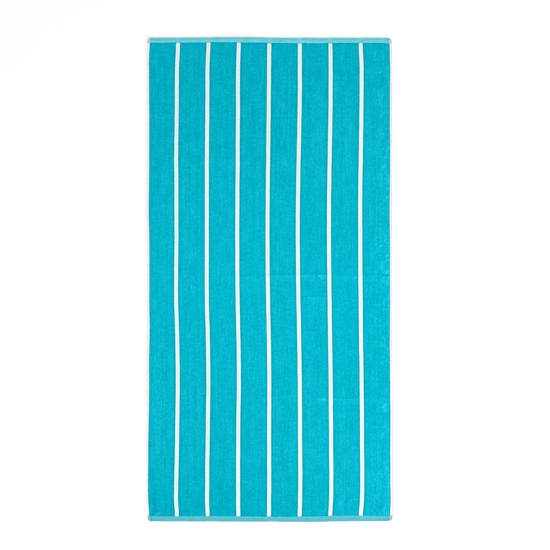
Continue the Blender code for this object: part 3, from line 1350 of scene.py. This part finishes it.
@dataclass(frozen=True)
class PlainFinish(FibreFinish):
    """A finish in one colour with an even grain, which is fixed to the object itself."""

    colour: str = "#FFFFFF"
    grain: float = 1.0
    contrast: float = 0.1
    relief: float = 0.05

    def make(self) -> bpy.types.Material:
        """Build the material.

        Returns:
            The material.
        """
        place = self.add("TexCoord", output="Object")
        grain = self.add("TexNoise", place, 1.0 / (self.grain * MM), 1.0)
        shade = self.weighted(1.0 - self.contrast / 2, (grain, self.contrast))
        return self.cover(self.shaded(self.colour, shade), grain, self.relief)


@dataclass(frozen=True)
class SewingThread(PlainFinish):
    """Spun polyester sewing thread, two-ply, in a pale colour between the cloth's two.

    To the eye it is smoother and a little brighter than the weave that it lies on.
    """

    name: str = "spun_polyester_thread"
    roughness: float = 0.6
    specular: float = 0.3
    colour: str = "#BFDDE2"
    grain: float = 0.9
    contrast: float = 0.3


@dataclass(frozen=True)
class SeamlessPaper(PlainFinish):
    """Matt white studio paper, pressed smooth.

    To the eye it is even and bright, with a hardly visible tooth of fibres.
    """

    name: str = "seamless_paper"
    specular: float = 0.1
    sheen: float = 0.0
    colour: str = "#FAFBFB"
    grain: float = 1.5
    contrast: float = 0.01
    relief: float = 0.02


@dataclass
class ClothFace:
    """The towel's cloth from above: velour, side bands and end hems, with what they turn under."""

    cloth: LaidCloth
    cell_across: float = 3.8
    cell_along: float = 4.2
    side_rows: int = 5
    end_rows: int = 8
    past_fold: float = 0.6
    near_pile: tuple[float, ...] = (0.0, 0.25, 0.8, 1.8, 4.0)
    ground: float = 0.3
    step: float = 2.0
    side_over_hem: float = 0.3
    side_over_end: float = 0.15
    map_margin: float = 0.002

    def lines(self, edge: TurnedEdge, half: float, flat_rows: int, cell: float) -> Array:
        """List the mesh lines from one edge of the cloth to the opposite one.

        Args:
            edge: The section of both edges.
            half: Half the cloth's size that way.
            flat_rows: The lines on the flat of a band or hem.
            cell: The size of a cell on the pile.

        Returns:
            Distances along the cloth from its middle, over each fold to the raw edge.
        """
        flat = list(np.linspace(edge.radius + self.past_fold, edge.turned, flat_rows, endpoint=False))
        near = [edge.turned + step for step in self.near_pile]
        outer = np.array(edge.rows(flat + near))
        path = half + edge.slack
        return np.concatenate([outer - path, divided(half - near[-1], cell)[1:-1], (path - outer)[::-1]])

    def build(self, finishes: dict[Weave, bpy.types.Material]) -> bpy.types.Object:
        """Build the face.

        Args:
            finishes: The material of each weave.

        Returns:
            The object.
        """
        side = TurnedEdge(self.cloth.side_band_thick, self.cloth.side_band)
        end = TurnedEdge(self.cloth.end_hem_thick, self.cloth.end_hem)
        half_u, half_v = self.cloth.width / 2, self.cloth.length / 2
        path_u = self.lines(side, half_u, self.side_rows, self.cell_across)
        path_v = self.lines(end, half_v, self.end_rows, self.cell_along)
        s_u = half_u + side.slack - np.abs(path_u)
        s_v = half_v + end.slack - np.abs(path_v)
        line_u = np.sign(path_u) * (half_u - side.inset(s_u))
        line_v = np.sign(path_v) * (half_v - end.inset(s_v))
        u, v = np.meshgrid(line_u, line_v)
        rise_u, rise_v = np.meshgrid(side.rise(s_u), end.rise(s_v))
        under = self.under(*np.meshgrid(s_u, s_v))
        z = under + (self.cloth.top(u, v) - under) * rise_u * rise_v
        face = grid_object("towel_cloth", self.cloth.place(u, v, z))
        add_values(face, "broken_pile", self.cloth.pile.broken(u, v))
        # Painted light and shade of the pile, for the velour's colour.
        add_values(face, "painted_light_pile", self.cloth.pile.painted_light(u, v))
        self.dress(face, (path_u, path_v), finishes)
        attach(face, "root")
        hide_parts("towel")
        return face

    def under(self, s_u: Array, s_v: Array) -> Array:
        """Return the height of what is turned under: the end hems lie under the side bands.

        Args:
            s_u: Places on the sections of the long sides.
            s_v: Places on the sections of the ends.

        Returns:
            The height at each place.
        """
        turned_side = smooth_step(-s_u)
        turned_end = smooth_step(-s_v)
        over_hem = smooth_step((self.cloth.end_hem + self.step - s_v) / self.step) * (1.0 - turned_end)
        higher = self.side_over_hem * over_hem + self.side_over_end * turned_end
        return self.ground + turned_side * higher

    def dress(
        self, face: bpy.types.Object, paths: tuple[Array, Array], finishes: dict[Weave, bpy.types.Material]
    ) -> None:
        """Map the face, in metres and stretched to fill a square, and finish each weave.

        Args:
            face: The face.
            paths: Its mesh lines across the cloth and along it.
            finishes: The material of each weave.
        """
        places = np.stack(np.meshgrid(*paths), axis=-1)
        low, high = places[0, 0], places[-1, -1]
        share = 1.0 - 2 * self.map_margin
        add_map(face, "Cloth", places * MM)
        add_map(face, "OFBake", self.map_margin + share * (places - low) / (high - low))
        for weave in Weave:
            face.data.materials.append(finishes[weave])
        off_u, off_v = np.meshgrid(*(np.abs(path[:-1] + path[1:]) / 2 for path in paths))
        pile_u, pile_v = self.cloth.pile_reach
        side_or_pile = np.where(off_u > pile_u, Weave.SIDE_BAND, Weave.VELOUR)
        weaves = np.where(off_v > pile_v, Weave.END_HEM, side_or_pile)
        face.data.polygons.foreach_set("material_index", weaves.reshape(-1).astype(np.int32))


@dataclass
class LoopedBack:
    """The towel's underside, between what the hems and side bands turn under."""

    cloth: LaidCloth
    cell: float = 6.0
    overlap: float = 1.5
    ground: float = 0.15
    over_turned: float = 0.9
    climb: float = 6.0
    loop_height: float = 0.12
    loops: Grain = Grain(1.0, 9.0, 9.0, 4.4)
    lifted: float = 0.9

    def build(self, finish: bpy.types.Material) -> bpy.types.Object:
        """Build the back.

        Args:
            finish: Its material.

        Returns:
            The object.
        """
        half_u, half_v = [reach + self.overlap for reach in self.cloth.pile_reach]
        u, v = np.meshgrid(divided(half_u, self.cell), divided(half_v, self.cell))
        inside = np.minimum(half_u - np.abs(u), half_v - np.abs(v))
        loops = self.loop_height * (1.0 + self.loops.at(u, v))
        rim = (self.over_turned - self.ground) * nearness(inside, self.climb)
        z = self.ground + loops + rim + self.lifted * self.cloth.lift(u, v)
        back = grid_object("towel_back", self.cloth.place(u, v, z), face_up=False)
        add_map(back, "Cloth", np.stack([u, v], axis=-1) * MM)
        back.data.materials.append(finish)
        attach(back, "root")
        return back


@dataclass
class Seams:
    """The lockstitch rows that hold the hems and side bands down, seen on both faces."""

    cloth: LaidCloth
    pitch: float = 3.0
    stitch: float = 2.5
    thread: float = 0.44
    sides: int = 5
    past_fold: float = 1.4
    wobble: Grain = Grain(0.35, 24.0, 50.0, 1.7)
    along: tuple[float, ...] = (-0.5, -0.36, 0.0, 0.36, 0.5)
    arch: tuple[float, ...] = (-0.22, 0.06, 0.16, 0.06, -0.22)
    girth: tuple[float, ...] = (0.3, 0.9, 1.0, 0.9, 0.3)
    back_height: float = 0.26
    back_arch: float = 0.4
    back_girth: float = 0.8

    def build(self, finish: bpy.types.Material) -> list[bpy.types.Object]:
        """Build the rows on the face and on the back.

        Args:
            finish: The thread's material.

        Returns:
            Both objects.
        """
        middles, headings = [np.concatenate(parts) for parts in zip(*map(self.row, Edge))]
        seams = []
        for name, on_face in (("seams_on_face", True), ("seams_on_back", False)):
            points = self.stitches(middles, headings, on_face)
            seam = pieces_object(name, points, self.stitch_faces())
            seam.data.materials.append(finish)
            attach(seam, "root")
            seams.append(seam)
        return seams

    def row(self, edge: Edge) -> tuple[Array, Array]:
        """Lay out one row of stitches.

        Args:
            edge: The edge of the cloth that the row runs along.

        Returns:
            The middle of each stitch on the cloth, and the way that it runs.
        """
        across, along = edge.value
        half_u, half_v = self.cloth.width / 2, self.cloth.length / 2
        reach = (half_v if across else half_u) - self.past_fold
        fixed = across * (half_u - self.cloth.side_seam) + along * (half_v - self.cloth.hem_seam)
        places = spaced(reach, self.pitch)
        aside = fixed + self.wobble.at(places, np.full(len(places), fixed))
        middles = np.stack([aside, places] if across else [places, aside], axis=-1)
        heading = (0.0, 1.0) if across else (1.0, 0.0)
        return middles, np.tile(heading, (len(places), 1))

    def stitches(self, middles: Array, headings: Array, on_face: bool) -> Array:
        """Shape the stitches: short threads that dip into the cloth at both ends.

        Args:
            middles: The middle of each stitch on the cloth.
            headings: The way that each one runs.
            on_face: Whether they show on the face or on the back.

        Returns:
            The points of each stitch, ring by ring.
        """
        turn = np.arange(self.sides) / self.sides * 2.0 * math.pi
        rings = np.array([self.along, self.girth, self.arch])[:, None, :, None]
        along, girth, arch = rings[0] * self.stitch, rings[1] * self.thread / 2, rings[2]
        aside = girth * np.cos(turn)[None, None, :]
        up = girth * np.sin(turn)[None, None, :]
        ahead_u, ahead_v = headings[:, 0, None, None], headings[:, 1, None, None]
        u = middles[:, 0, None, None] + ahead_u * along - ahead_v * aside
        v = middles[:, 1, None, None] + ahead_v * along + ahead_u * aside
        if on_face:
            z = self.cloth.top(u.mean(axis=2), v.mean(axis=2))[:, :, None] + arch + up
        else:
            z = self.back_height - arch * self.back_arch + up * self.back_girth
        return self.cloth.place(u, v, z).reshape(len(middles), -1, 3)

    def stitch_faces(self) -> Array:
        """Shape the skin of one stitch.

        Returns:
            The four points of each face, as indices of the stitch's points.
        """
        ring = np.arange(self.sides)
        after = np.roll(ring, -1)
        tube = np.stack([ring, after, after + self.sides, ring + self.sides], axis=-1)
        return np.concatenate([tube + start * self.sides for start in range(len(self.along) - 1)])


@dataclass
class PileFringe:
    """Tufts that lean out over the bands and hems all round the pile, so that its edge is soft."""

    cloth: LaidCloth
    spacing: float = 1.7
    tuft_width: float = 1.7
    reach: float = 1.3
    far_lean: float = 0.8
    wobble: float = 0.8
    lean: float = 0.9
    widths: tuple[float, float] = (0.7, 1.2)
    reaches: tuple[float, float] = (0.3, 1.0)
    root_in: float = 1.2
    heel_in: float = 0.2
    root_down: float = 0.15
    heel_down: float = 1.7
    tip_down: float = 0.35
    droop: float = 0.5
    seed: int = 7

    def build(self, finish: bpy.types.Material) -> bpy.types.Object:
        """Build the tufts.

        Args:
            finish: Their material.

        Returns:
            The object.
        """
        rng = np.random.default_rng(self.seed)
        tufts = np.concatenate([self.tufts_on(edge, rng) for edge in Edge])
        faces = np.array([(0, 1, 3), (1, 2, 3), (2, 0, 3)])
        fringe = pieces_object("pile_fringe", self.cloth.place(*np.moveaxis(tufts, -1, 0)), faces)
        add_map(fringe, "Cloth", tufts[..., :2] * MM)
        fringe.data.materials.append(finish)
        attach(fringe, "root")
        return fringe

    def tufts_on(self, edge: Edge, rng: np.random.Generator) -> Array:
        """Lay tufts along one edge of the pile.

        Args:
            edge: The edge of the cloth that they lean to.
            rng: Where their unevenness comes from.

        Returns:
            The (u, v, z) of each tuft's points: two of its root, one below them, and its tip.
        """
        across, along = edge.value
        half_u, half_v = self.cloth.pile_reach
        run, fixed = (half_v, half_u) if across else (half_u, half_v)
        even = spaced(run, self.spacing)
        middles = even + rng.uniform(-self.wobble, self.wobble, len(even))
        wide = self.tuft_width * rng.uniform(*self.widths, len(even))
        lean = rng.uniform(-self.lean, self.lean, len(even))
        out = (self.reach + along * self.far_lean) * rng.uniform(*self.reaches, len(even))
        ahead = np.stack([middles - wide / 2, middles + wide / 2, middles, middles + lean], axis=-1)
        outs = -self.root_in, -self.root_in, -self.heel_in, out
        ups = -self.root_down, -self.root_down, -self.heel_down, -self.tip_down - self.droop * out
        outward, up = [np.stack([*np.broadcast_arrays(*row)], axis=-1) for row in (outs, ups)]
        outward = fixed + outward
        u, v = (across * outward, ahead) if across else (ahead, along * outward)
        z = self.cloth.pile_thick + self.cloth.lift(u[:, 3:], v[:, 3:]) + up
        tufts = np.stack([u, v, z], axis=-1)
        return tufts[:, [1, 0, 2, 3]] if edge in (Edge.LEFT, Edge.FAR) else tufts


class Lamp(NamedTuple):
    """A soft lamp turned to the towel: where it stands, its size in metres and its power in watts."""

    name: str
    place_m: tuple[float, float, float]
    size_m: tuple[float, float]
    power: float


LAMPS = (
    Lamp("overhead", (0.6, -1.5, 7.0), (3.0, 3.0), 141.0),
    Lamp("low_side", (3.45, -2.21, 0.93), (1.2, 0.6), 118.0),
)


@dataclass
class Studio:
    """The pale floor, the soft lamps and the camera straight above the towel."""

    floor_m: float = 40.0
    lens: float = 100.0
    sensor: float = 36.0
    view_m: float = 1.705
    aim_m: tuple[float, float] = (0.0162, 0.0142)
    room_colour: str = "#FFFFFF"
    room_light: float = 0.73

    def build(self) -> None:
        """Build the floor, the camera and the lights."""
        self.lay_floor()
        self.set_camera()
        self.set_lights()
        # The photograph's white is plain paper white, so the picture keeps its colours as they are.
        bpy.context.scene.view_settings.view_transform = "Standard"

    def lay_floor(self) -> None:
        """Lay a large sheet of paper under the towel."""
        bpy.ops.mesh.primitive_plane_add(size=self.floor_m, location=(0.0, 0.0, 0.0))
        floor = bpy.context.object
        floor.name = "floor"
        floor.data.materials.append(SeamlessPaper().make())
        floor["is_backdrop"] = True

    def set_camera(self) -> None:
        """Put the camera where the photograph was taken from."""
        data = bpy.data.cameras.new("camera")
        data.lens = self.lens
        data.sensor_width = self.sensor
        camera = link(bpy.data.objects.new("camera", data))
        camera.location = (*self.aim_m, self.view_m * self.lens / self.sensor)
        bpy.context.scene.camera = camera

    def set_lights(self) -> None:
        """Light the towel evenly, with one low lamp at its lower right that brings out the relief."""
        world = bpy.data.worlds.new("soft_room")
        bpy.context.scene.world = world
        world.use_nodes = True
        back = world.node_tree.nodes["Background"]
        back.inputs["Color"].default_value = linear(self.room_colour)
        back.inputs["Strength"].default_value = self.room_light
        for lamp in LAMPS:
            data = bpy.data.lights.new(lamp.name, "AREA")
            data.shape = "RECTANGLE"
            data.size, data.size_y = lamp.size_m
            data.energy = lamp.power
            light = link(bpy.data.objects.new(lamp.name, data))
            light.location = lamp.place_m
            light.rotation_euler = (-light.location).to_track_quat("-Z", "Y").to_euler()
            light.visible_camera = False


def write_sizes() -> None:
    """Build the boxes of the frame and of the dressed towel; nothing keeps them."""
    boxes = {"cad": CAD_BOX, "visual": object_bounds()}
    {name: [list(corner) for corner in box] for name, box in boxes.items()}


def main() -> None:
    """Build the towel, then its studio."""
    logging.basicConfig(level=logging.INFO, format="%(message)s")
    cloth = LaidCloth()
    finishes = {
        Weave.VELOUR: Velour().make(),
        Weave.END_HEM: HemWeave().make(),
        Weave.SIDE_BAND: SideBandWeave().make(),
    }
    face = ClothFace(cloth).build(finishes)
    back = LoopedBack(cloth).build(LoopedTerry().make())
    fringe = PileFringe(cloth).build(finishes[Weave.VELOUR])
    seams = Seams(cloth).build(SewingThread().make())
    for piece in (face, back, fringe, *seams):
        LOG.info("%s: %d faces", piece.name, len(piece.data.polygons))
    Studio().build()
    write_sizes()


if __name__ == "__main__":
    main()
